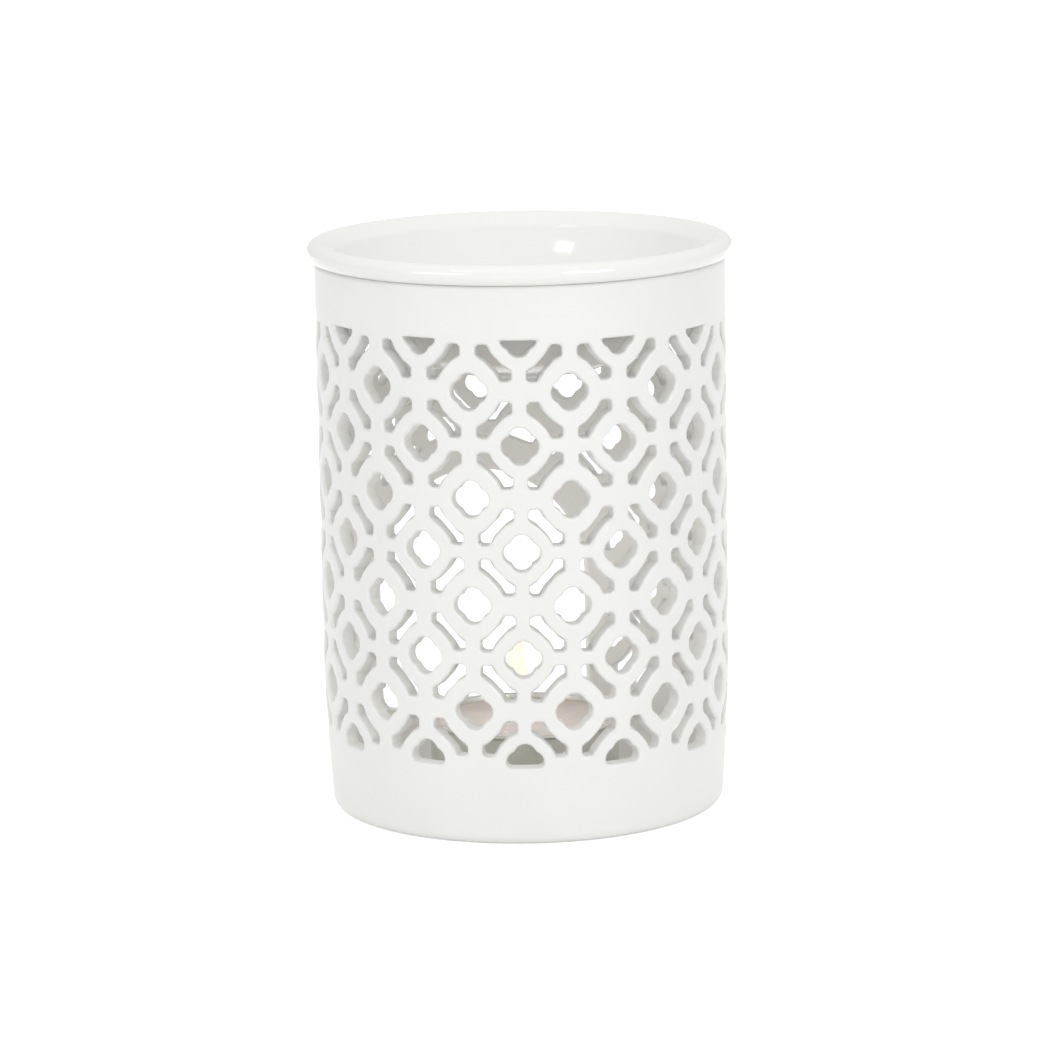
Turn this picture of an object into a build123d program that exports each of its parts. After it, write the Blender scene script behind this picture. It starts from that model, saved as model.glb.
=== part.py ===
"""Essential oil burner: a pierced ceramic body, a dish that lifts out of its mouth and a tealight inside.

Millimetres. The origin is on the ground under the middle of the body, +Z is up, and the arched opening
that the tealight goes through faces +Y. Round pieces are made of narrow flats, so that the windows have
straight edges and the meshes stay light. A radius is measured to the middle of a flat.
"""

import os
from math import atan2, cos, degrees, radians, sin, tan

from build123d import *

os.makedirs("parts", exist_ok=True)

# Body
wall_radius = 39.95
wall = 3.0
body_height = 108.15  # up to the seat of the dish
foot_lean = 1.25  # how far the wall leans in towards the foot
foot_swell = 0.3  # and how far it bulges on the way
lean_height = 15.0  # the lean ends here
foot_edge = 1.8  # rounding of the lower edge
foot_ring = 4.5  # width of the flat ring that stands on the ground
foot_recess = 1.2  # depth of the hollow inside the ring
floor_height = 4.5  # top of the floor that the tealight stands on
floor_fillet = 2.0
lip_chamfer = 0.5

# Lattice of windows round the wall
columns = 13  # quatrefoils in one row
rows = 8  # rows of slots, with a row of quatrefoils above and below each
bottom_band = 16.35  # plain wall below the lattice, from the ground
top_band = 9.56  # plain wall above it, up to the seat
lattice_turn = 2.7  # degrees from the middle of the arch to the nearest column
window_overrun = 2.0  # how far each cutter reaches past both faces of the wall

# Windows as shares of the lattice cell, which is half a column wide and one row high
reach_share = 0.38  # centre of a quatrefoil to the tip of a lobe
lobe_share = 0.27  # flat tip of a lobe
notch_share = 0.3  # centre of a quatrefoil to the notch between two lobes
slot_length_share = 0.9
slot_width_share = 0.25

# Arch at the back
arch_clearance = 2.4  # on each side of the tealight
arch_sill = 12.0
arch_top = 59.9
arch_corner = 4.0
arch_side_border = 5.0  # plain wall kept beside the arch
arch_top_border = 7.5  # plain wall kept above it
arch_shoulder = 7.0  # how far the border stays straight above the springing of the arch

# Dish
dish_wall = 3.0
dish_clearance = 0.7  # between the dish and the inside of the wall
dish_depth = 21.2  # foot of the dish below its seat
dish_side_height = 4.0  # straight side below the seat
dish_foot_radius = 16.5
dish_foot_width = 2.2
dish_foot_height = 0.9
bowl_floor_radius = 13.0
rim_overhang = 1.65  # past the outside of the wall
rim_roll = 2.03  # radius of the rolled edge

# Tealight
cup_radius = 19.0
cup_taper = 0.6  # how much narrower the cup is at its base
cup_height = 12.0
cup_skin = 0.35
cup_rim = 0.5  # turned-out edge
cup_offset_x = -0.3
cup_offset_y = 1.0
wax_clearance = 0.06
wax_drop = 1.8  # rim of the cup to the wax
sustainer_radius = 6.3
sustainer_skin = 0.3
neck_radius = 1.25
neck_height = 3.2
wick_radius = 0.8
wick_stem = 12.5  # straight part
wick_tip = 4.5  # part that leans over
wick_lean = 35.0  # degrees

# Flats round each piece and bands along each curve
wall_flats = 2 * columns  # a corner of the wall runs down the middle of each column of quatrefoils
dish_flats = 2 * wall_flats
tealight_flats = 24
edge_bands = 2
bowl_bands = 4
roll_bands = 6

half_pitch = 180 / columns  # degrees from one column to the next
column_arc = wall_radius * radians(half_pitch)
row_pitch = (body_height - top_band - bottom_band) / rows
cell = min(column_arc, row_pitch)
lattice_top = body_height - top_band
arch_width = 2 * (cup_radius + cup_rim + arch_clearance)
arch_springing = arch_top - arch_width / 2
back_reach = wall_radius + window_overrun


def wall_plane(angle):
    """Upright plane just outside the wall at an angle round the body, looking outward, with its y up."""
    outward = Vector(cos(radians(angle)), sin(radians(angle)), 0)
    sideways = Vector(-sin(radians(angle)), cos(radians(angle)), 0)
    return Plane(origin=outward * (wall_radius + window_overrun), x_dir=sideways, z_dir=outward)


def column_angle(step):
    """Angle of a column of windows, half a pitch for each step, counted from the arch."""
    return 90 - lattice_turn + step * half_pitch


def row_height(row):
    """Height of a row of quatrefoils, counted down from the top edge of the lattice."""
    return lattice_top - row * row_pitch


def quatrefoil_outline():
    """Four lobes on the axes with a notch between each two."""
    reach, tip, notch = cell * reach_share, cell * lobe_share / 2, cell * notch_share * cos(radians(45))
    corner = [(tip, reach), (notch, notch), (reach, tip)]
    points = []
    for turn in range(4):
        points += corner
        corner = [(y, -x) for x, y in corner]
    return points


def arch_outline(half_width, sill, springing, top):
    """Round-topped opening, upright, with the ground at y = 0."""
    with BuildSketch() as outline:
        with BuildLine():
            Polyline((half_width, springing), (half_width, sill), (-half_width, sill),
                     (-half_width, springing))
            ThreePointArc((-half_width, springing), (0, top), (half_width, springing))
        make_face()
    return outline.sketch


def quarter_curve(start, end, bands):
    """Points of a quarter ellipse that leaves start level and arrives at end upright."""
    steps = [radians(90 * band / bands) for band in range(bands + 1)]
    return [(start[0] + (end[0] - start[0]) * sin(step), end[1] + (start[1] - end[1]) * cos(step))
            for step in steps]


def turned(outline, flats, turn=0):
    """Turned solid with flats: one wedge of the half section, repeated round the axis."""
    half_wedge = radians(180 / flats)
    with BuildPart() as wedge:
        with BuildSketch(Plane.XZ):
            with BuildLine():
                Polyline(*outline, close=True)
            make_face()
        extrude(amount=2 * max(radius for radius, height in outline) * tan(half_wedge), both=True)
        for side in (1, -1):
            split(bisect_by=Plane(origin=(0, 0, 0), z_dir=(-sin(half_wedge), side * cos(half_wedge), 0)),
                  keep=Keep.BOTTOM)
    with BuildPart() as solid:
        with PolarLocations(0, flats, start_angle=turn):
            add(wedge.part)
    return solid.part


# Cutters for every window round the wall
with BuildSketch() as quatrefoil:
    with BuildLine():
        Polyline(*quatrefoil_outline(), close=True)
    make_face()
slot_tilt = degrees(atan2(column_arc, row_pitch))
cut_depth = wall + 2 * window_overrun
with BuildPart() as windows:
    for parity in (0, 1):
        quatrefoil_planes = [wall_plane(column_angle(step)) for step in range(parity, 2 * columns, 2)]
        with BuildSketch(*quatrefoil_planes):
            with Locations(*[(0, row_height(row)) for row in range(parity, rows + 1, 2)]):
                add(quatrefoil.sketch)
            with Locations((0, (lattice_top + bottom_band) / 2)):
                Rectangle(2 * cell, lattice_top - bottom_band, mode=Mode.INTERSECT)
        extrude(amount=-cut_depth)
        slot_planes = [wall_plane(column_angle(step + 1 / 2)) for step in range(parity, 2 * columns, 2)]
        with BuildSketch(*slot_planes):
            for row in range(rows):
                tilt = slot_tilt if row % 2 == parity else -slot_tilt
                with Locations(Location((0, row_height(row + 1 / 2)), tilt)):
                    Rectangle(cell * slot_length_share, cell * slot_width_share)
        extrude(amount=-cut_depth)
    with BuildSketch(Plane.XZ):
        add(arch_outline(arch_width / 2 + arch_side_border, 0, arch_springing + arch_shoulder,
                         arch_top + arch_top_border))
    extrude(amount=-back_reach, mode=Mode.SUBTRACT)

# Body, one casting
foot_radius = wall_radius - foot_lean
ring_outside = foot_radius - foot_edge
wall_inside = wall_radius - wall
lean_middle = (wall_radius - foot_lean / 2 + foot_swell, (foot_edge + lean_height) / 2)
body_outline = [
    (0, foot_recess),
    (ring_outside - foot_ring, foot_recess),
    (ring_outside - foot_ring, 0),
    *quarter_curve((ring_outside, 0), (foot_radius, foot_edge), edge_bands),
    lean_middle,
    (wall_radius, lean_height),
    (wall_radius, body_height - lip_chamfer),
    (wall_radius - lip_chamfer, body_height),
    (wall_inside + lip_chamfer, body_height),
    (wall_inside, body_height - lip_chamfer),
    *reversed(quarter_curve((wall_inside - floor_fillet, floor_height),
                            (wall_inside, floor_height + floor_fillet), edge_bands)),
    (0, floor_height)]
with BuildPart() as burner_body:
    add(turned(body_outline, wall_flats, column_angle(1 / 2)))
    add(windows.part, mode=Mode.SUBTRACT)
    with BuildSketch(Plane.XZ) as arch:
        add(arch_outline(arch_width / 2, arch_sill, arch_springing, arch_top))
        fillet(arch.vertices().group_by(Axis.Y)[0], arch_corner)
    extrude(amount=-back_reach, mode=Mode.SUBTRACT)
burner_body.part.label = "burner_body"
export_step(burner_body.part, "parts/burner_body.step")

# Dish, with a rolled rim that rests on the wall
dish_radius = wall_inside - dish_clearance
dish_base = body_height - dish_depth
dish_underside = dish_base + dish_foot_height
bowl_floor = dish_underside + dish_wall
side_base = body_height - dish_side_height
foot_inside = dish_foot_radius - dish_foot_width / 2
foot_outside = dish_foot_radius + dish_foot_width / 2
roll_centre = (wall_radius + rim_overhang - rim_roll, body_height + rim_roll)
roll_steps = [radians(-90 + 225 * band / roll_bands) for band in range(roll_bands + 1)]
dish_outline = [
    *quarter_curve((bowl_floor_radius, bowl_floor), (dish_radius - dish_wall, side_base), bowl_bands),
    *[(roll_centre[0] + rim_roll * cos(step), roll_centre[1] + rim_roll * sin(step))
      for step in reversed(roll_steps)],
    (dish_radius, body_height),
    *reversed(quarter_curve((foot_outside, dish_underside), (dish_radius, side_base), bowl_bands)),
    (foot_outside, dish_base),
    (foot_inside, dish_base),
    (foot_inside, dish_underside),
    (0, dish_underside),
    (0, bowl_floor)]
with BuildPart() as oil_dish:
    add(turned(dish_outline, dish_flats, column_angle(1 / 2)))
oil_dish.part.label = "oil_dish"
export_step(oil_dish.part, "parts/oil_dish.step")

# Tealight: a pressed cup, its wax, and a wick held upright by a small plate with a neck
cup_place = Location((cup_offset_x, cup_offset_y, floor_height))
cup_foot_radius = cup_radius - cup_taper
cup_outline = [
    (0, 0),
    (cup_foot_radius, 0),
    (cup_radius, cup_height - cup_skin),
    (cup_radius + cup_rim, cup_height - cup_skin),
    (cup_radius + cup_rim, cup_height),
    (cup_radius - cup_skin, cup_height),
    (cup_foot_radius - cup_skin, cup_skin),
    (0, cup_skin)]
with BuildPart() as tealight_cup:
    with Locations(cup_place):
        add(turned(cup_outline, tealight_flats))
tealight_cup.part.label = "tealight_cup"
export_step(tealight_cup.part, "parts/tealight_cup.step")

plate_top = cup_skin + sustainer_skin
neck_top = cup_skin + neck_height
sustainer_outline = [
    (wick_radius + wax_clearance, cup_skin),
    (sustainer_radius, cup_skin),
    (sustainer_radius, plate_top),
    (neck_radius, plate_top),
    (neck_radius, neck_top),
    (wick_radius + wax_clearance, neck_top)]
with BuildPart() as wick_sustainer:
    with Locations(cup_place):
        add(turned(sustainer_outline, tealight_flats))
wick_sustainer.part.label = "wick_sustainer"
export_step(wick_sustainer.part, "parts/wick_sustainer.step")

wax_foot = cup_foot_radius - cup_skin - wax_clearance
wax_top = cup_height - wax_drop
wax_outline = [
    (sustainer_radius + wax_clearance, cup_skin),
    (wax_foot, cup_skin),
    (wax_foot + cup_taper * (wax_top - cup_skin) / cup_height, wax_top),
    (wick_radius + wax_clearance, wax_top),
    (wick_radius + wax_clearance, neck_top + wax_clearance),
    (neck_radius + wax_clearance, neck_top + wax_clearance),
    (neck_radius + wax_clearance, plate_top + wax_clearance),
    (sustainer_radius + wax_clearance, plate_top + wax_clearance)]
with BuildPart() as tealight_wax:
    with Locations(cup_place):
        add(turned(wax_outline, tealight_flats))
tealight_wax.part.label = "tealight_wax"
export_step(tealight_wax.part, "parts/tealight_wax.step")

with BuildPart() as wick:
    with BuildLine(Plane(origin=cup_place.position, x_dir=(1, 0, 0), z_dir=(0, -1, 0))) as wick_path:
        stem = Line((0, cup_skin), (0, cup_skin + wick_stem))
        PolarLine(stem @ 1, wick_tip, 90 - wick_lean)
    with BuildSketch(Plane(origin=wick_path.line @ 0, z_dir=(0, 0, 1))):
        RegularPolygon(wick_radius, side_count=tealight_flats // 2)
    sweep(path=wick_path.line, transition=Transition.RIGHT)
wick.part.label = "wick"
export_step(wick.part, "parts/wick.step")
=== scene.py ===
"""Looks of the essential oil burner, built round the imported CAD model. Metres, in the CAD's frame:
the origin is on the ground under the middle of the body, +Z is up and the arch faces +Y."""

from math import atan2, cos, pi, radians, sin, tan

import bpy
import numpy as np
from mathutils import Matrix, Vector
from mathutils.geometry import delaunay_2d_cdt


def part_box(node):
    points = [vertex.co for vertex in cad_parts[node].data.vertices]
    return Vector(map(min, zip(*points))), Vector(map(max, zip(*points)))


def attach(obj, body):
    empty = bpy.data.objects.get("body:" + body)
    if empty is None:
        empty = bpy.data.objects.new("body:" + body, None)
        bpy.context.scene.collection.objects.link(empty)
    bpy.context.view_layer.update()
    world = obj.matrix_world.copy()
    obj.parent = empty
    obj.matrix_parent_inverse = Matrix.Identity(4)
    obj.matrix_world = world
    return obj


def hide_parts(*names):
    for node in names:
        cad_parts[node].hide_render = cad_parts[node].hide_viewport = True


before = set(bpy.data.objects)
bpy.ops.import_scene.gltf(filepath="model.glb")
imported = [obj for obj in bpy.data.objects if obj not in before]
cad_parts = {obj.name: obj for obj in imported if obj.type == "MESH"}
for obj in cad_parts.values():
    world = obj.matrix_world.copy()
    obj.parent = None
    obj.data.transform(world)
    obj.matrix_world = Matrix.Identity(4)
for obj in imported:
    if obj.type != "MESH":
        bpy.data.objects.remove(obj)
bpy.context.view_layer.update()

MM = 0.001

# Body
WALL_RADIUS = 40.05 * MM
WALL = 3.0 * MM
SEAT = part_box("burner_body")[1].z
LEAN = 1.5 * MM  # how far the wall leans in towards the foot
LEAN_HEIGHT = 36.0 * MM
FOOT_EDGE = 1.9 * MM
FOOT_RING = 4.5 * MM
FOOT_RECESS = 1.2 * MM
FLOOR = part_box("tealight_cup")[0].z
FLOOR_FILLET = 2.5 * MM
LIP_ROUND = 0.9 * MM
RING_STEPS = 156
FLAT_MIDDLE = 16.0 * MM  # radius of the flat part of the floor and of the recess below it

# Lattice
COLUMNS = 13
ROWS = 8
RAY_SAMPLES = 400  # places tried along each ray for the edge of an opening
RAY_HALVINGS = 24
LATTICE_BOTTOM = 15.95 * MM
LATTICE_TOP = SEAT - 9.96 * MM
LATTICE_TURN = 2.7  # degrees from the middle of the arch to the nearest column
LATTICE_TIP = 0.78  # degrees that the rows lie lower towards the camera's right
LATTICE_SPREAD = 4.2  # degrees that the columns at the camera's two sides lie further round
SPREAD_POWER = 2.3  # how close to the two sides that shift gathers in front
LATTICE_DROOP = 0.45 * MM  # how much lower the rows lie at the camera's two sides
LOBE_RADIUS = 2.14 * MM
LOBE_OFFSET = 1.42 * MM
NOTCH_BLEND = 0.12 * MM
SLOT_REACH = 3.1 * MM  # middle of a slot to the middle of its end
SLOT_END = 1.2 * MM
SLOT_CORNER = 0.45 * MM
SLOT_WAIST = 0.98 * MM
SLOT_BLEND = 0.5 * MM
SLOT_SHIFTS = (0.42 * MM, -0.17 * MM)  # rows of slots lie higher and lower by turns
TAPER = 0.13 * MM  # how much the windows narrow towards the inside
TOP_DROP = 0.4 * MM
TOP_CORNER = 0.4 * MM
BOTTOM_RISE = 0.5 * MM
BOTTOM_DROP = 1.1 * MM
BOTTOM_CORNER = 0.8 * MM
WINDOW_EDGE = {1: 0.65 * MM, -1: 0.4 * MM}  # rounding of the windows' outer and inner edges
SMALLEST_WINDOW = 2.5 * MM * MM
GRID_GAP = 0.8 * MM  # room between the windows and the points of the plain wall
GRID_ROW = 2.4 * MM

# Arch at the back
ARCH_HALF = 21.9 * MM
ARCH_SILL = 12.0 * MM
ARCH_SPRINGING = 38.0 * MM
ARCH_CORNER = 4.0 * MM
BORDER_HALF = 26.9 * MM
BORDER_SHOULDER = 45.0 * MM
BORDER_TOP = 67.4 * MM
BORDER_BLEND = 0.5 * MM

# Tealight
CUP_MIDDLE = (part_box("tealight_cup")[0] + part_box("tealight_cup")[1]) / 2
CUP_RADIUS = 19.0 * MM
WICK_RADIUS = 0.8 * MM
FLAME_FOOT = FLOOR + 11.3 * MM
FLAME_HEIGHT = 17.2 * MM
FLAME_HALF_WIDTH = 2.0 * MM
FLAME_LEAN = 1.4 * MM
FLAME_SHIFT = 0.1 * MM
FLAME_LIGHT_RISE = 19 * MM

# Camera
CAMERA_TOWARDS = Vector((-0.272, -0.962, 0)).normalized()
CAMERA_RIGHT = Vector((-CAMERA_TOWARDS.y, CAMERA_TOWARDS.x, 0))
CAMERA_DISTANCE = 934.9 * MM
CAMERA_HEIGHT = 237.9 * MM
CAMERA_AIM = 55.1 * MM
CAMERA_ROLL = 0.97  # degrees
CAMERA_LENS = 166.15
SENSOR_WIDTH = 36
LAMP_AIM = Vector((0, 0, 60 * MM))

HALF_PITCH = pi / COLUMNS
ROW_PITCH = (LATTICE_TOP - LATTICE_BOTTOM) / ROWS
SLOT_TILT = atan2(ROW_PITCH, WALL_RADIUS * HALF_PITCH)


def wall_radius(height):
    """Outside radius of the wall at a height."""
    return WALL_RADIUS - LEAN * np.clip(1 - height / LEAN_HEIGHT, 0, 1) ** 2


def wall_slope(height):
    """How fast the radius grows with height."""
    return 2 * LEAN / LEAN_HEIGHT * np.clip(1 - height / LEAN_HEIGHT, 0, 1)


def soft_min(a, b, blend):
    """The smaller of two distances, blended where they are nearly equal."""
    share = np.clip(0.5 + 0.5 * (b - a) / blend, 0, 1)
    return b + (a - b) * share - blend * share * (1 - share)


def soft_max(a, b, blend):
    return -soft_min(-a, -b, blend)


# Shapes of the openings, each as the distance outside it, which is negative inside
def quatrefoil(s, t):
    """Window with four round lobes, at s across and t up from its middle."""
    s, t = np.abs(s), np.abs(t)
    side, end = np.hypot(s - LOBE_OFFSET, t), np.hypot(s, t - LOBE_OFFSET)
    return soft_min(side, end, NOTCH_BLEND) - LOBE_RADIUS


def upper_half(s, t):
    """Half window that stands on the plain band at the bottom."""
    return soft_max(quatrefoil(s, t), -t - BOTTOM_DROP, BOTTOM_CORNER)


def lower_half(s, t):
    """Half window that hangs from the plain band at the top."""
    return soft_max(quatrefoil(s, t), t + TOP_DROP, TOP_CORNER)


def round_cornered(side, below, corner):
    """Distance outside a corner whose two edges are at distances side and below."""
    side, below = side + corner, below + corner
    beyond = np.hypot(np.maximum(side, 0), np.maximum(below, 0))
    return beyond + np.minimum(np.maximum(side, below), 0) - corner


def slot(tilt):
    """Slanting slot with upright, round-cornered ends and a narrower middle."""
    def distance(s, t):
        along = s * cos(tilt) + t * sin(tilt)
        across = t * cos(tilt) - s * sin(tilt)
        shank = np.hypot(along - np.clip(along, -SLOT_REACH, SLOT_REACH), across) - SLOT_WAIST
        end = np.where(along > 0, SLOT_REACH, -SLOT_REACH)
        block = round_cornered(np.abs(s - end * cos(tilt)) - SLOT_END,
                               np.abs(t - end * sin(tilt)) - SLOT_END, SLOT_CORNER)
        return soft_min(shank, block, SLOT_BLEND)
    return distance


def arch(x, z):
    """Arched opening at the back, round at its top."""
    lower = round_cornered(np.abs(x) - ARCH_HALF, ARCH_SILL - z, ARCH_CORNER)
    return np.where(z > ARCH_SPRINGING, np.hypot(x, z - ARCH_SPRINGING) - ARCH_HALF, lower)


def border(x, z):
    """Plain frame round the arch, where the lattice ends."""
    rise = BORDER_TOP - BORDER_SHOULDER
    radius = (BORDER_HALF ** 2 + rise ** 2) / (2 * rise)
    return np.where(z > BORDER_SHOULDER, np.hypot(x, z - (BORDER_TOP - radius)) - radius,
                    np.abs(x) - BORDER_HALF)


def even_rays(count):
    """Directions all the way round, evenly spaced."""
    return np.linspace(0, 2 * pi, count, endpoint=False)


def slot_rays(tilt, side_steps=8, end_steps=6):
    """Rays towards points spread evenly along a slot's outline."""
    turn = np.linspace(-pi / 2, pi / 2, end_steps)
    along = np.concatenate([SLOT_REACH + SLOT_END * np.cos(turn),
                            np.linspace(SLOT_REACH, -SLOT_REACH, side_steps)[1:-1]])
    across = np.concatenate([SLOT_END * np.sin(turn), np.full(side_steps - 2, SLOT_END)])
    half = np.arctan2(across, along)  # one end and one side
    return np.sort(np.concatenate([half, half + pi]) + tilt)


class Window:
    """An opening cut straight through the wall at an angle round the body. Its outline is found along rays
    from a point inside it, so every outline of one window has matching points."""

    def __init__(self, angle, height, shape, rays, start=(0, 0), reach=8 * MM):
        self.angle, self.height, self.shape, self.rays = angle, height, shape, rays
        self.start, self.reach = np.array(start)[:, None], reach

    def outline(self, grow):
        """Points where the shape, grown by a distance, ends along each ray."""
        direction = np.stack([np.cos(self.rays), np.sin(self.rays)])
        reach = np.linspace(0, self.reach, RAY_SAMPLES)
        s = self.start[0] + direction[0][:, None] * reach
        t = self.start[1] + direction[1][:, None] * reach
        first = np.argmin(self.shape(s, t) < grow, axis=1)
        low, high = reach[first - 1], reach[first]
        for _ in range(RAY_HALVINGS):
            middle = (low + high) / 2
            inside = self.shape(*(self.start + direction * middle)) < grow
            low, high = np.where(inside, middle, low), np.where(inside, high, middle)
        return self.start + direction * low

    def outward(self, points):
        """Direction out of the opening at points of its outline."""
        step = 0.02 * MM
        s, t = points
        slope = np.stack([self.shape(s + step, t) - self.shape(s - step, t),
                          self.shape(s, t + step) - self.shape(s, t - step)])
        return slope / np.linalg.norm(slope, axis=0)


def beside_arch(angle, height, shape, rays, start=(0, 0)):
    """The window, cut off by the border of the arch where it meets that, or None if little is left."""
    def cut(s, t):
        x = WALL_RADIUS * np.cos(angle + np.arcsin(np.clip(s / WALL_RADIUS, -1, 1)))
        return soft_max(shape(s, t), -border(x, height + t), BORDER_BLEND)

    step, reach = 0.1 * MM, 6 * MM
    s, t = np.meshgrid(np.arange(-reach, reach, step), np.arange(-reach, reach, step))
    whole, deep = shape(s, t), cut(s, t)
    if sin(angle) < 0 or (deep < 0).sum() == (whole < 0).sum():
        return Window(angle, height, shape, rays, start)
    if (deep < 0).sum() * step * step < SMALLEST_WINDOW:
        return None
    lowest = np.unravel_index(np.argmin(deep), deep.shape)
    return Window(angle, height, cut, even_rays(36), (s[lowest], t[lowest]))


def tipped(angle, height):
    """Height of a place in the lattice, whose rows are not quite level."""
    right = CAMERA_RIGHT.x * cos(angle) + CAMERA_RIGHT.y * sin(angle)
    return height - WALL_RADIUS * right * tan(radians(LATTICE_TIP)) - LATTICE_DROOP * right ** 2


def column_angle(step):
    """Angle of a column of windows. The columns are not quite evenly spaced."""
    angle = pi / 2 - radians(LATTICE_TURN) + step * HALF_PITCH
    turn = (angle - atan2(CAMERA_TOWARDS.y, CAMERA_TOWARDS.x) + pi) % (2 * pi) - pi
    share = abs(sin(turn)) ** SPREAD_POWER if abs(turn) < pi / 2 else 2 - abs(turn) / (pi / 2)
    return angle + radians(LATTICE_SPREAD) * (share if turn > 0 else -share)


def lattice_windows():
    """Four-lobed windows with slots between them, and half windows along both plain bands."""
    found = []
    for step in range(2 * COLUMNS):
        angle, between = column_angle(step), column_angle(step + 0.5)
        for row in range(step % 2, ROWS + 1, 2):
            shape, start = quatrefoil, (0, 0)
            if row == 0:
                shape, start = lower_half, (0, -LOBE_OFFSET)
            elif row == ROWS:
                shape, start = upper_half, (0, LOBE_OFFSET)
            level = LATTICE_TOP - row * ROW_PITCH + (BOTTOM_RISE if row == ROWS else 0)
            found.append(beside_arch(angle, tipped(angle, level), shape, even_rays(40), start))
        for row in range(ROWS):
            tilt = SLOT_TILT if row % 2 == step % 2 else -SLOT_TILT
            level = LATTICE_TOP - (row + 0.5) * ROW_PITCH + SLOT_SHIFTS[row % 2]
            found.append(beside_arch(between, tipped(between, level), slot(tilt), slot_rays(tilt)))
    return [window for window in found if window is not None]


class Skin:
    """Points, normals and faces of a mesh while it is put together."""

    def __init__(self):
        self.points, self.normals, self.faces, self.count = [], [], [], 0

    def add(self, points, normals):
        """Adds points with their normals and returns their numbers."""
        self.points.append(points)
        self.normals.append(normals / np.linalg.norm(normals, axis=1)[:, None])
        self.count += len(points)
        return np.arange(self.count - len(points), self.count)

    def strip(self, a, b):
        """Faces between two rings of the same number of points."""
        self.faces += np.stack([a, np.roll(a, -1), np.roll(b, -1), b], axis=1).tolist()

    def fan(self, ring, point, normal):
        """Faces between a ring and one point."""
        middle = self.add(np.array([point]), np.array([normal], float))[0]
        self.faces += [[a, b, middle] for a, b in zip(ring.tolist(), np.roll(ring, -1).tolist())]

    def mesh(self, name, material):
        """The finished piece, with every face turned the way its normals point."""
        points, normals = np.concatenate(self.points), np.concatenate(self.normals)
        faces = []
        for face in self.faces:
            a, b, c = points[face[:3]]
            faces.append(face if np.cross(b - a, c - a) @ normals[face].sum(0) >= 0 else face[::-1])
        data = bpy.data.meshes.new(name)
        data.from_pydata(points.tolist(), [], faces)
        data.shade_smooth()
        data.normals_split_custom_set_from_vertices(normals.tolist())
        data.materials.append(material)
        piece = bpy.data.objects.new(name, data)
        bpy.context.scene.collection.objects.link(piece)
        return piece


def round_points(angle, radius, height, middle=(0, 0)):
    """Points at angles round an upright axis."""
    return np.stack([middle[0] + radius * np.cos(angle), middle[1] + radius * np.sin(angle),
                     height + 0 * angle], axis=1)


def ellipse(centre, across, up, start, end, steps):
    """Points of a profile along part of an ellipse, from one angle in degrees to another."""
    turn = np.radians(np.linspace(start, end, steps + 1))
    return [(centre[0] + across * cos(a), centre[1] + up * sin(a)) for a in turn]


def arc(centre, radius, start, end, steps):
    return ellipse(centre, radius, radius, start, end, steps)


def curve(handles, steps):
    """Points of a cubic curve from its four handles."""
    a, b, c, d = np.array(handles)
    share = np.linspace(0, 1, steps + 1)[:, None]
    rest = 1 - share
    points = rest ** 3 * a + 3 * rest ** 2 * share * b + 3 * rest * share ** 2 * c + share ** 3 * d
    return [tuple(point) for point in points.tolist()]


def turned(skin, profile, angles, side=1, ring=None, middle=(0, 0)):
    """Rings of a profile, each joined to the last. A profile that starts or ends on the axis is closed
    there. The surface faces the side that is to the right of the profile's direction."""
    steps = np.diff(np.array(profile), axis=0)
    length = np.linalg.norm(steps, axis=1)[:, None]
    unit = steps / length
    tangent = np.concatenate([unit[:1], unit[:-1] / length[:-1] + unit[1:] / length[1:], unit[-1:]])
    centre = None
    for (radius, height), (dr, dz) in zip(profile, tangent):
        if radius == 0:
            if ring is None:
                centre = height
            else:
                skin.fan(ring, (*middle, height), (0, 0, -side * dr))
            continue
        if ring is not None and centre is None and (radius, height) == profile[0]:
            continue
        normal = side * np.stack([dz * np.cos(angles), dz * np.sin(angles), -dr + 0 * angles], axis=1)
        ids = skin.add(round_points(angles, radius, height, middle), normal)
        if ring is not None:
            skin.strip(ring, ids)
        elif centre is not None:
            skin.fan(ids, (*middle, centre), (0, 0, -side * dr))
        ring = ids
    return ring


def opened_out(angle, height):
    """The wall opened out as a flat ring, which keeps the shapes of small triangles."""
    spread = np.exp(height / WALL_RADIUS)
    return np.stack([spread * np.cos(angle), spread * np.sin(angle)], axis=1)


def in_polygon(point, a):
    """Whether a point lies inside the polygon with corners a."""
    b = np.roll(a, -1, axis=0)
    crossed = a[(a[:, 1] > point[1]) != (b[:, 1] > point[1])]
    other = b[(a[:, 1] > point[1]) != (b[:, 1] > point[1])]
    at = crossed[:, 0] + (point[1] - crossed[:, 1]) * (other - crossed)[:, 0] / (other - crossed)[:, 1]
    return np.count_nonzero(point[0] < at) % 2 == 1


def sheet(skin, loops, spots):
    """Triangles over one face of the wall, between its upper edge, its lower edge and the windows."""
    parts = loops + [spots]
    flat = np.concatenate([opened_out(angle, height) for ids, angle, height in parts])
    ids = np.concatenate([ids for ids, angle, height in parts])
    owner = np.repeat(np.arange(len(parts)), [len(part[0]) for part in parts])
    edges = []
    for number in range(len(loops)):
        ring = np.flatnonzero(owner == number)
        edges += np.stack([ring, np.roll(ring, -1)], axis=1).tolist()
    made = delaunay_2d_cdt([Vector(point) for point in flat.tolist()], edges, [], 0, 1e-9)
    source = [sources[0] for sources in made[3]]
    holes = [flat[owner == number] for number in range(len(loops))]
    for triangle in made[2]:
        corners = [source[corner] for corner in triangle]
        first = owner[corners[0]]
        lone = 0 < first < len(loops) and first == owner[corners[1]] == owner[corners[2]]
        if not (lone and in_polygon(flat[corners].mean(0), holes[first])):
            skin.faces.append(ids[corners].tolist())


def face_normal(side, angle, height):
    """Normal of the wall's outer face, side 1, or inner face, side -1."""
    return side * np.stack([np.cos(angle), np.sin(angle), -wall_slope(height)], axis=1)


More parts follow.
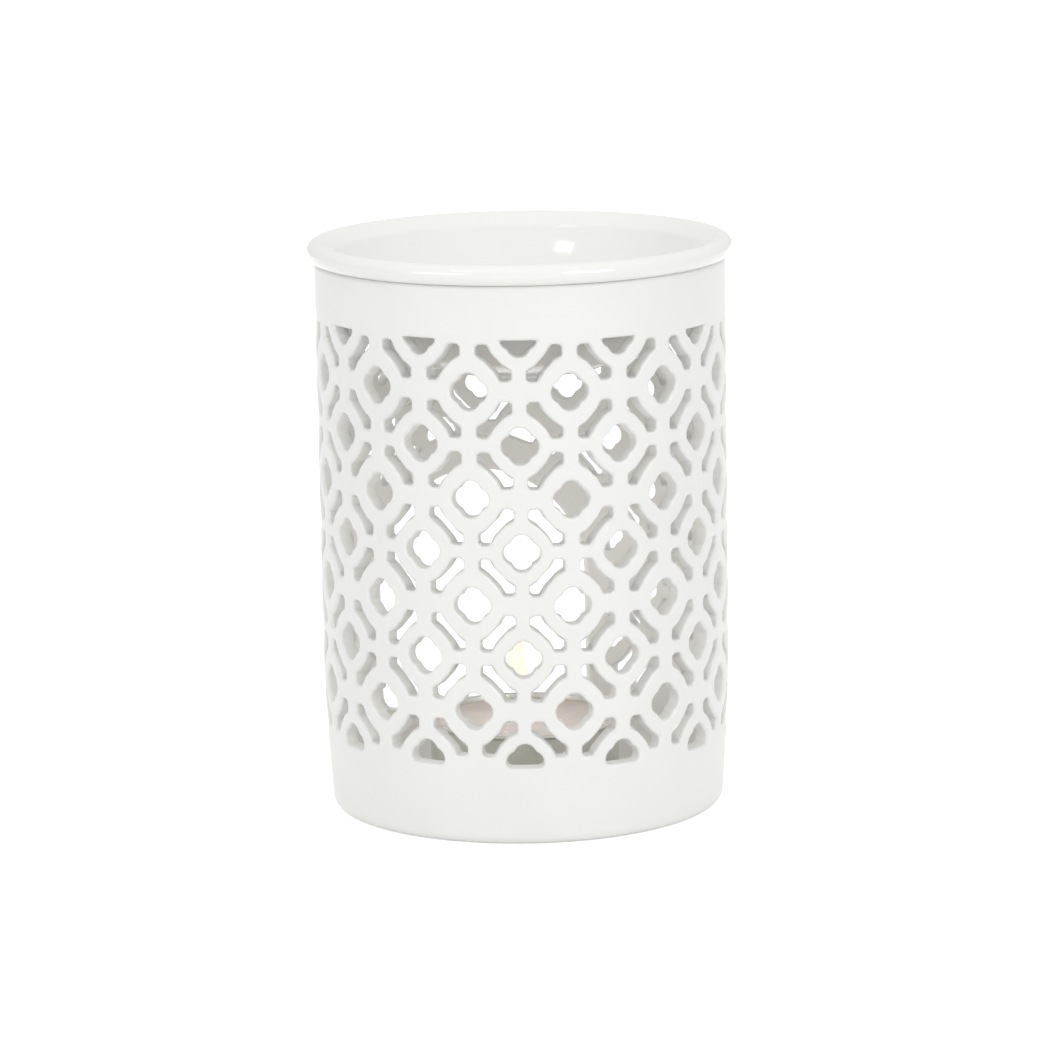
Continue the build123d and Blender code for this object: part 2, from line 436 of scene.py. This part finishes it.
def window_rims(skin, window, loops):
    """Rounded edges of a window on both faces of the wall, and the jamb between them."""
    right = np.array([-sin(window.angle), cos(window.angle), 0])
    jamb = {}
    for side in (1, -1):
        last, edge, narrower = None, WINDOW_EDGE[side], TAPER if side == -1 else 0
        for turn in np.radians((0, 45, 90)):
            points = window.outline(edge * (1 - sin(turn)) - narrower)
            outward = window.outward(points)
            height = window.height + points[1]
            depth = edge * (1 - cos(turn))
            radius = wall_radius(height) - (depth if side == 1 else WALL - depth)
            angle = window.angle + np.arcsin(points[0] / radius)
            inward = -(outward[0][:, None] * right + outward[1][:, None] * np.array([0, 0, 1]))
            normal = cos(turn) * face_normal(side, angle, height) + sin(turn) * inward
            ids = skin.add(round_points(angle, radius, height), normal)
            if last is None:
                loops.setdefault(side, []).append((ids, angle, height))
            else:
                skin.strip(last, ids)
            last = ids
        jamb[side] = last
    skin.strip(jamb[1], jamb[-1])


def grid_spots(skin, windows, side, low, high):
    """Points spread over the plain parts of one face of the wall."""
    heights = np.linspace(low, high, int((high - low) / GRID_ROW))[1:-1]
    angle, height = np.meshgrid(even_rays(RING_STEPS), heights)
    angle = (angle + (np.arange(len(heights)) % 2)[:, None] * pi / RING_STEPS).ravel()
    height = height.ravel()
    radius = wall_radius(height) - (0 if side == 1 else WALL)
    free = np.ones(len(angle), bool)
    for window in windows:
        gap = window.shape(radius * np.sin(angle - window.angle), height - window.height)
        free &= (np.cos(angle - window.angle) < 0) | (gap > WINDOW_EDGE[side] + GRID_GAP)
    angle, height, radius = angle[free], height[free], radius[free]
    return skin.add(round_points(angle, radius, height), face_normal(side, angle, height)), angle, height


def pierced_body(material):
    """Body with its lattice wall, arch, lip, floor and ring foot."""
    skin = Skin()
    angles = even_rays(RING_STEPS)
    windows = lattice_windows()
    windows.append(Window(pi / 2, 0, arch, even_rays(160), (0, ARCH_SPRINGING - 4 * MM), 40 * MM))
    levels = {1: (SEAT - LIP_ROUND, FOOT_EDGE + MM), -1: (SEAT - LIP_ROUND, FLOOR + FLOOR_FILLET)}
    loops = {}
    for side, heights in levels.items():
        for height in heights:
            level = np.full_like(angles, height)
            radius = wall_radius(level) - (0 if side == 1 else WALL)
            ids = skin.add(round_points(angles, radius, height), face_normal(side, angles, level))
            loops.setdefault(side, []).append((ids, angles, level))
    for window in windows:
        window_rims(skin, window, loops)
    for side, (high, low) in levels.items():
        sheet(skin, loops[side], grid_spots(skin, windows, side, low, high))
    outer, inner = wall_radius(SEAT), wall_radius(SEAT) - WALL
    lip = (arc((outer - LIP_ROUND, SEAT - LIP_ROUND), LIP_ROUND, 0, 90, 5)
           + arc((inner + LIP_ROUND, SEAT - LIP_ROUND), LIP_ROUND, 90, 180, 5))
    skin.strip(turned(skin, lip[:-1], angles, ring=loops[1][0][0]), loops[-1][0][0])
    ring = wall_radius(FOOT_EDGE) - FOOT_EDGE
    hollow = ring - FOOT_RING
    soft = 0.5 * MM
    base = ([(wall_radius(levels[1][1]), levels[1][1])]
            + arc((ring, FOOT_EDGE), FOOT_EDGE, 0, -90, 8)
            + arc((hollow + soft, soft), soft, -90, -180, 4)
            + arc((hollow - soft, FOOT_RECESS - soft), soft, 0, 90, 4)
            + [(FLAT_MIDDLE, FOOT_RECESS), (0, FOOT_RECESS)])
    turned(skin, base, angles, side=-1, ring=loops[1][1][0])
    low = wall_radius(levels[-1][1]) - WALL
    floor = (arc((low - FLOOR_FILLET, levels[-1][1]), FLOOR_FILLET, 0, -90, 6)
             + [(FLAT_MIDDLE, FLOOR), (0, FLOOR)])
    turned(skin, floor, angles, ring=loops[-1][1][0])
    return skin.mesh("pierced_body", material)


def warming_dish(material):
    """Dish with a rolled rim, a round bowl and a low foot ring."""
    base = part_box("oil_dish")[0].z
    underside = base + 0.9 * MM
    roll = 2.0 * MM
    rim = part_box("oil_dish")[1].z - roll - 0.01 * MM
    outside, rim_middle = 36.25 * MM, 39.57 * MM
    wall = 2.9 * MM
    side_base = SEAT - 4 * MM
    foot_inner, foot_outer, belly = 14.6 * MM, 16.6 * MM, 17.4 * MM
    foot = ([(foot_inner, underside)]
            + arc((foot_inner + 0.4 * MM, base + 0.4 * MM), 0.4 * MM, 180, 270, 3)
            + arc((foot_outer - 0.6 * MM, base + 0.6 * MM), 0.6 * MM, 270, 360, 4)
            + arc((foot_outer + 0.5 * MM, underside - 0.1 * MM), 0.5 * MM, 180, 110, 3))
    bowl = ellipse((belly, side_base), outside - belly, side_base - underside - 0.4 * MM, -88, 0, 26)
    seat = arc((outside + 0.8 * MM, SEAT - 0.75 * MM), 0.8 * MM, 180, 90, 4)
    edge = arc((rim_middle, rim), roll, -88, 135, 24)
    floor = underside + wall
    flare = 3.0 * MM * cos(pi / 4)
    shoulder = (edge[-1][0] - flare, edge[-1][1] - flare)
    slope, run, level_run, flat = radians(72), 5 * MM, 16 * MM, 11 * MM
    inside = curve([shoulder, (shoulder[0] - run * cos(slope), shoulder[1] - run * sin(slope)),
                    (flat + level_run, floor), (flat, floor)], 36)
    flared = [(edge[-1][0] - flare * share, edge[-1][1] - flare * share) for share in (0.4, 0.8)]
    profile = [(0, underside)] + foot + bowl + seat + edge + flared + inside + [(0, floor)]
    skin = Skin()
    turned(skin, profile, even_rays(160))
    return skin.mesh("warming_dish", material)


def cup_shell(material):
    """Pressed cup with a rolled edge, a step at its foot and a thin wall."""
    foot, top = FLOOR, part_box("tealight_cup")[1].z
    radius, edge, skin_depth = CUP_RADIUS, 0.33 * MM, 0.3 * MM
    lip = radius + edge
    outside = ([(0, foot + 0.5 * MM), (15.6 * MM, foot + 0.5 * MM), (16.2 * MM, foot + 0.35 * MM)]
               + arc((17.3 * MM, foot + 0.5 * MM), 0.5 * MM, 240, 300, 3)
               + arc((17.7 * MM, foot + 0.75 * MM), 0.75 * MM, 285, 355, 4)
               + [(18.55 * MM, foot + 2.0 * MM), (radius - 0.05 * MM, top - 1.2 * MM)]
               + [(radius, top - 2 * edge - 0.1 * MM)])
    roll = arc((lip - edge + 0.12 * MM, top - edge), edge, -80, 170, 10)
    inside = [(radius - skin_depth, top - 0.8 * MM), (18.2 * MM, foot + 1.4 * MM),
              (17.4 * MM, foot + 0.9 * MM), (15 * MM, foot + 0.8 * MM), (0, foot + 0.8 * MM)]
    skin = Skin()
    turned(skin, outside + roll + inside, even_rays(120), middle=CUP_MIDDLE[:2])
    return skin.mesh("tealight_cup_shell", material)


def wax_pool(material):
    """Wax with a melted pool that climbs the wick and the cup."""
    foot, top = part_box("tealight_wax")[0].z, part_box("tealight_cup")[1].z - 0.9 * MM
    side = 18.35 * MM
    surface = [(side, top - 0.1 * MM), (side - 0.3 * MM, top), (side - 0.9 * MM, top - 0.35 * MM),
               (side - 2.2 * MM, top - 0.75 * MM), (13 * MM, top - 0.95 * MM), (7 * MM, top - 1.0 * MM),
               (3 * MM, top - 0.95 * MM), (1.6 * MM, top - 0.7 * MM), (1.0 * MM, top - 0.2 * MM)]
    profile = ([(0, foot), (17.6 * MM, foot), (18.0 * MM, foot + 0.6 * MM)] + surface
               + [(0.85 * MM, top - 0.1 * MM), (0.82 * MM, foot + 3.1 * MM), (0, foot + 3.0 * MM)])
    skin = Skin()
    turned(skin, profile, even_rays(96), middle=CUP_MIDDLE[:2])
    return skin.mesh("tealight_wax_pool", material)


def wick_braid(material, foot, top, bend):
    """Wick that stands up from the wax and bends over at its charred end."""
    profile = [(0, foot.z), (WICK_RADIUS, foot.z)]
    profile += [(WICK_RADIUS, height) for height in np.linspace(foot.z, top, 26)[1:-2]]
    profile += [(0.72 * MM, top - 0.35 * MM), (0.4 * MM, top - 0.05 * MM), (0, top)]
    skin = Skin()
    turned(skin, profile, even_rays(20), middle=foot[:2])
    piece = skin.mesh("wick_braid", material)
    straight = 0.55
    for vertex in piece.data.vertices:
        share = max(0, (vertex.co.z - foot.z) / (top - foot.z) - straight) / (1 - straight)
        vertex.co = vertex.co + bend * share ** 1.6
    return piece


def flame_shape(material, base, height, width, lean):
    """Leaning flame, narrow at the wick, widest near its middle and drawn out to a point."""
    profile = [(0, 0)]
    for share in np.linspace(0.03, 0.97, 24):
        profile.append((width * sin(pi * share ** 1.3) ** 0.8, height * share))
    profile.append((0, height))
    skin = Skin()
    turned(skin, profile, even_rays(32))
    piece = skin.mesh("flame", material)
    for vertex in piece.data.vertices:
        share = min(max(vertex.co.z / height - 0.2, 0) / 0.5, 1)
        vertex.co = vertex.co + base + lean * share * share * (3 - 2 * share)
    piece.visible_shadow = False
    return piece


def flame_light(place):
    """Weak lamp that lights the inside of the body as the flame does."""
    data = bpy.data.lights.new("flame_light", "POINT")
    data.energy, data.color, data.shadow_soft_size = 0.009, (1, 0.96, 0.91), 3 * MM
    light = bpy.data.objects.new("flame_light", data)
    light.location = place
    light.visible_glossy = False
    bpy.context.scene.collection.objects.link(light)
    return light


# Materials
def new_material(name):
    material = bpy.data.materials.new(name)
    material.use_nodes = True
    nodes = material.node_tree.nodes
    return material, nodes, material.node_tree.links, nodes["Principled BSDF"]


def noise(nodes, links, scale, detail, stretch=(1, 1, 1)):
    """Noise texture in the object's own metres."""
    place = nodes.new("ShaderNodeTexCoord")
    mapping = nodes.new("ShaderNodeMapping")
    mapping.inputs["Scale"].default_value = stretch
    links.new(place.outputs["Object"], mapping.inputs["Vector"])
    made = nodes.new("ShaderNodeTexNoise")
    made.inputs["Scale"].default_value = scale
    made.inputs["Detail"].default_value = detail
    links.new(mapping.outputs["Vector"], made.inputs["Vector"])
    return made.outputs[0]


def height_share(nodes, links, low, high):
    """How far up a point lies between two heights, from 0 to 1."""
    place = nodes.new("ShaderNodeTexCoord")
    split = nodes.new("ShaderNodeSeparateXYZ")
    links.new(place.outputs["Object"], split.inputs["Vector"])
    made = nodes.new("ShaderNodeMapRange")
    made.inputs["From Min"].default_value = low
    made.inputs["From Max"].default_value = high
    links.new(split.outputs["Z"], made.inputs["Value"])
    return made.outputs["Result"]


def ramp(nodes, links, value, stops):
    """Colours that run into each other along a value."""
    made = nodes.new("ShaderNodeValToRGB")
    made.color_ramp.elements.remove(made.color_ramp.elements[1])
    for number, (position, colour) in enumerate(stops):
        element = made.color_ramp.elements[0] if number == 0 else made.color_ramp.elements.new(position)
        element.position = position
        element.color = (*colour, 1)
    links.new(value, made.inputs["Fac"])
    return made.outputs["Color"]


def bump(nodes, links, height, strength, distance, normal=None):
    """Fine relief in the surface, on top of another one if that is given."""
    made = nodes.new("ShaderNodeBump")
    made.inputs["Strength"].default_value = strength
    made.inputs["Distance"].default_value = distance
    links.new(height, made.inputs["Height"])
    if normal is not None:
        links.new(normal, made.inputs["Normal"])
    return made.outputs["Normal"]


def grey_range(nodes, links, value, low, high):
    """A value from 0 to 1 spread between two others."""
    made = nodes.new("ShaderNodeMapRange")
    made.inputs["To Min"].default_value = low
    made.inputs["To Max"].default_value = high
    links.new(value, made.inputs["Value"])
    return made.outputs["Result"]


def glaze(name, light, dark, rough, wave):
    """White glaze, with faint clouds in its colour, uneven gloss and a slight ripple."""
    material, nodes, links, shader = new_material(name)
    clouds = noise(nodes, links, 55, 3)
    links.new(ramp(nodes, links, clouds, [(0.3, dark), (0.7, light)]), shader.inputs["Base Color"])
    patches = noise(nodes, links, 140, 2)
    links.new(grey_range(nodes, links, patches, rough - 0.05, rough + 0.05), shader.inputs["Roughness"])
    ripple = bump(nodes, links, noise(nodes, links, 260, 1), wave, 0.05 * MM)
    fine = noise(nodes, links, 2600, 2)
    links.new(bump(nodes, links, fine, wave * 0.5, 0.01 * MM, ripple), shader.inputs["Normal"])
    shader.inputs["IOR"].default_value = 1.5
    return material


def foil(name):
    """Pressed aluminium, with fine drawn lines up its wall."""
    material, nodes, links, shader = new_material(name)
    shader.inputs["Metallic"].default_value = 1.0
    tone = noise(nodes, links, 160, 3)
    links.new(ramp(nodes, links, tone, [(0.3, (0.72, 0.72, 0.69)), (0.7, (0.84, 0.84, 0.81))]),
              shader.inputs["Base Color"])
    lines = noise(nodes, links, 900, 3, (1, 1, 0.06))
    links.new(grey_range(nodes, links, lines, 0.24, 0.42), shader.inputs["Roughness"])
    links.new(bump(nodes, links, lines, 0.3, 0.02 * MM), shader.inputs["Normal"])
    return material


def wax_material(name):
    """Half-clear wax, with faint clouds in its colour and gloss."""
    material, nodes, links, shader = new_material(name)
    clouds = noise(nodes, links, 120, 3)
    links.new(ramp(nodes, links, clouds, [(0.3, (0.52, 0.46, 0.435)), (0.7, (0.59, 0.54, 0.51))]),
              shader.inputs["Base Color"])
    links.new(grey_range(nodes, links, clouds, 0.15, 0.35), shader.inputs["Roughness"])
    shader.inputs["Subsurface Weight"].default_value = 0.6
    shader.inputs["Subsurface Radius"].default_value = (4 * MM, 2 * MM, 1 * MM)
    shader.inputs["Subsurface Scale"].default_value = 1.0
    ripple = noise(nodes, links, 300, 2)
    links.new(bump(nodes, links, ripple, 0.2, 0.05 * MM), shader.inputs["Normal"])
    return material


def steel(name):
    """Tinned steel plate, brushed one way."""
    material, nodes, links, shader = new_material(name)
    shader.inputs["Metallic"].default_value = 1.0
    lines = noise(nodes, links, 1500, 3, (1, 0.1, 1))
    links.new(ramp(nodes, links, lines, [(0.3, (0.55, 0.55, 0.54)), (0.7, (0.7, 0.7, 0.69))]),
              shader.inputs["Base Color"])
    links.new(grey_range(nodes, links, lines, 0.25, 0.45), shader.inputs["Roughness"])
    return material


def charred_cotton(name):
    """Braided wick, waxy at its foot and black towards the flame."""
    material, nodes, links, shader = new_material(name)
    height = height_share(nodes, links, FLOOR + 9 * MM, FLOOR + 13 * MM)
    links.new(ramp(nodes, links, height,
                   [(0, (0.42, 0.34, 0.26)), (0.5, (0.08, 0.06, 0.05)), (1, (0.02, 0.02, 0.02))]),
              shader.inputs["Base Color"])
    shader.inputs["Roughness"].default_value = 0.9
    weave = noise(nodes, links, 1800, 2, (1, 1, 0.4))
    links.new(bump(nodes, links, weave, 0.8, 0.1 * MM), shader.inputs["Normal"])
    return material


def flame_material(name, low, high):
    """Glow that runs from blue at the wick through orange to pale yellow."""
    material, nodes, links, shader = new_material(name)
    nodes.remove(shader)
    colour = ramp(nodes, links, height_share(nodes, links, low, high),
                  [(0.0, (0.25, 0.3, 0.65)), (0.1, (0.9, 0.5, 0.2)), (0.28, (1, 0.83, 0.5)),
                   (0.42, (1, 0.96, 0.7)), (0.55, (1, 1, 0.83)), (0.78, (1, 1, 0.88)),
                   (0.92, (1, 0.95, 0.72)), (1.0, (1, 0.8, 0.45))])
    glow = nodes.new("ShaderNodeEmission")
    links.new(colour, glow.inputs["Color"])
    glow.inputs["Strength"].default_value = 1.0
    links.new(glow.outputs[0], nodes["Material Output"].inputs["Surface"])
    return material


# Studio
def floor_material():
    """White floor that keeps the shadow of the object."""
    material, nodes, links, shader = new_material("studio_floor")
    nodes.remove(shader)
    path = nodes.new("ShaderNodeLightPath")
    seen = nodes.new("ShaderNodeMath")
    seen.operation = "MAXIMUM"
    links.new(path.outputs["Is Camera Ray"], seen.inputs[0])
    links.new(path.outputs["Is Glossy Ray"], seen.inputs[1])
    also = nodes.new("ShaderNodeMath")
    also.operation = "MAXIMUM"
    links.new(seen.outputs[0], also.inputs[0])
    links.new(path.outputs["Is Transmission Ray"], also.inputs[1])
    strength = nodes.new("ShaderNodeMath")
    strength.operation = "MULTIPLY"
    strength.inputs[1].default_value = 0.55
    links.new(also.outputs[0], strength.inputs[0])
    glow = nodes.new("ShaderNodeEmission")
    links.new(strength.outputs[0], glow.inputs["Strength"])
    matt = nodes.new("ShaderNodeBsdfDiffuse")
    matt.inputs["Color"].default_value = (0.86, 0.86, 0.86, 1)
    both = nodes.new("ShaderNodeAddShader")
    links.new(glow.outputs[0], both.inputs[0])
    links.new(matt.outputs[0], both.inputs[1])
    links.new(both.outputs[0], nodes["Material Output"].inputs["Surface"])
    return material


def studio_floor():
    """Large level floor under the object."""
    data = bpy.data.meshes.new("floor")
    half = 3.0
    data.from_pydata([(-half, -half, 0), (half, -half, 0), (half, half, 0), (-half, half, 0)], [],
                     [(0, 1, 2, 3)])
    data.materials.append(floor_material())
    floor = bpy.data.objects.new("floor", data)
    bpy.context.scene.collection.objects.link(floor)


def studio_world():
    """Soft white light from all round, and plain white behind the object."""
    world = bpy.data.worlds.new("studio")
    bpy.context.scene.world = world
    world.use_nodes = True
    nodes, links = world.node_tree.nodes, world.node_tree.links
    path = nodes.new("ShaderNodeLightPath")
    soft, white = nodes["Background"], nodes.new("ShaderNodeBackground")
    soft.inputs["Color"].default_value = (1, 1, 1, 1)
    soft.inputs["Strength"].default_value = 0.78
    mix = nodes.new("ShaderNodeMixShader")
    links.new(path.outputs["Is Camera Ray"], mix.inputs[0])
    links.new(soft.outputs[0], mix.inputs[1])
    links.new(white.outputs[0], mix.inputs[2])
    white.inputs["Color"].default_value = (1, 1, 1, 1)
    links.new(mix.outputs[0], nodes["World Output"].inputs["Surface"])


def area_light(name, place, size, power, reflected=True, lights=True):
    """Lamp that points at the object, seen in its gloss and lighting its surfaces as asked."""
    data = bpy.data.lights.new(name, "AREA")
    data.shape = "RECTANGLE"
    data.size, data.size_y = size
    data.energy = power
    light = bpy.data.objects.new(name, data)
    light.location = place
    light.visible_glossy, light.visible_diffuse = reflected, lights
    light.rotation_euler = (LAMP_AIM - place).to_track_quat("-Z", "Y").to_euler()
    bpy.context.scene.collection.objects.link(light)


def camera():
    """Camera in front of the object and a little above it, level but for a slight roll."""
    data = bpy.data.cameras.new("camera")
    data.lens, data.sensor_width = CAMERA_LENS, SENSOR_WIDTH
    made = bpy.data.objects.new("camera", data)
    place = CAMERA_TOWARDS * CAMERA_DISTANCE + Vector((0, 0, CAMERA_HEIGHT))
    look = (Vector((0, 0, CAMERA_AIM)) - place).to_track_quat("-Z", "Y").to_matrix()
    made.matrix_world = (Matrix.Translation(place)
                         @ (look @ Matrix.Rotation(radians(-CAMERA_ROLL), 3, "Z")).to_4x4())
    bpy.context.scene.collection.objects.link(made)
    bpy.context.scene.camera = made


def studio_place(right, up, distance):
    """Place at a distance, turned from the camera's side to its right and up, in degrees."""
    right, up = radians(right), radians(up)
    level = CAMERA_TOWARDS * cos(right) + CAMERA_RIGHT * sin(right)
    return level * distance * cos(up) + Vector((0, 0, distance * sin(up) + CAMERA_AIM))


bpy.context.scene.view_settings.view_transform = "Standard"
camera()
studio_floor()
studio_world()
area_light("front", studio_place(-2, 13, 1.2), (0.9, 0.7), 2.1, reflected=False)
area_light("back", studio_place(180, 12, 1.2), (0.9, 0.7), 4.0, reflected=False)
area_light("left", studio_place(-38, 50, 1.1), (0.19, 0.16), 0.5)
area_light("right", studio_place(37, 24, 1.1), (0.5, 0.2), 0.8)
area_light("left_strip", studio_place(-44, 16, 1.1), (0.55, 0.2), 2.0, lights=False)
area_light("right_strip", studio_place(37, 16, 1.1), (0.5, 0.2), 3.6, lights=False)
area_light("top", studio_place(0, 85, 1.0), (0.5, 0.5), 1.2, reflected=False)

body_glaze = glaze("body_glaze", (0.86, 0.86, 0.835), (0.84, 0.84, 0.815), 0.42, 0.25)
dish_glaze = glaze("dish_glaze", (0.88, 0.88, 0.855), (0.86, 0.86, 0.835), 0.10, 0.12)

body = pierced_body(body_glaze)
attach(body, "body")
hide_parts("burner_body")

dish = warming_dish(dish_glaze)
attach(dish, "dish")
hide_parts("oil_dish")

cup = cup_shell(foil("cup_foil"))
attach(cup, "tealight")
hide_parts("tealight_cup")

wax = wax_pool(wax_material("wax"))
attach(wax, "tealight")
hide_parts("tealight_wax")

wick_low, wick_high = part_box("wick")
wick_foot = Vector((CUP_MIDDLE.x, CUP_MIDDLE.y, wick_low.z))
wick_bend = CAMERA_TOWARDS * -0.9 * MM - CAMERA_RIGHT * 0.5 * MM
wick = wick_braid(charred_cotton("wick_cotton"), wick_foot, wick_high.z - WICK_RADIUS, wick_bend)
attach(wick, "tealight")
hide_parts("wick")

bpy.data.objects["wick_sustainer"].material_slots[0].material = steel("sustainer_plate")

flame_base = Vector((CUP_MIDDLE.x, CUP_MIDDLE.y, FLAME_FOOT))
flame = flame_shape(flame_material("flame", FLAME_FOOT, FLAME_FOOT + FLAME_HEIGHT),
                    flame_base + CAMERA_RIGHT * FLAME_SHIFT, FLAME_HEIGHT, FLAME_HALF_WIDTH,
                    CAMERA_RIGHT * -FLAME_LEAN)
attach(flame, "tealight")
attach(flame_light(flame_base + Vector((0, 0, FLAME_LIGHT_RISE))), "tealight")
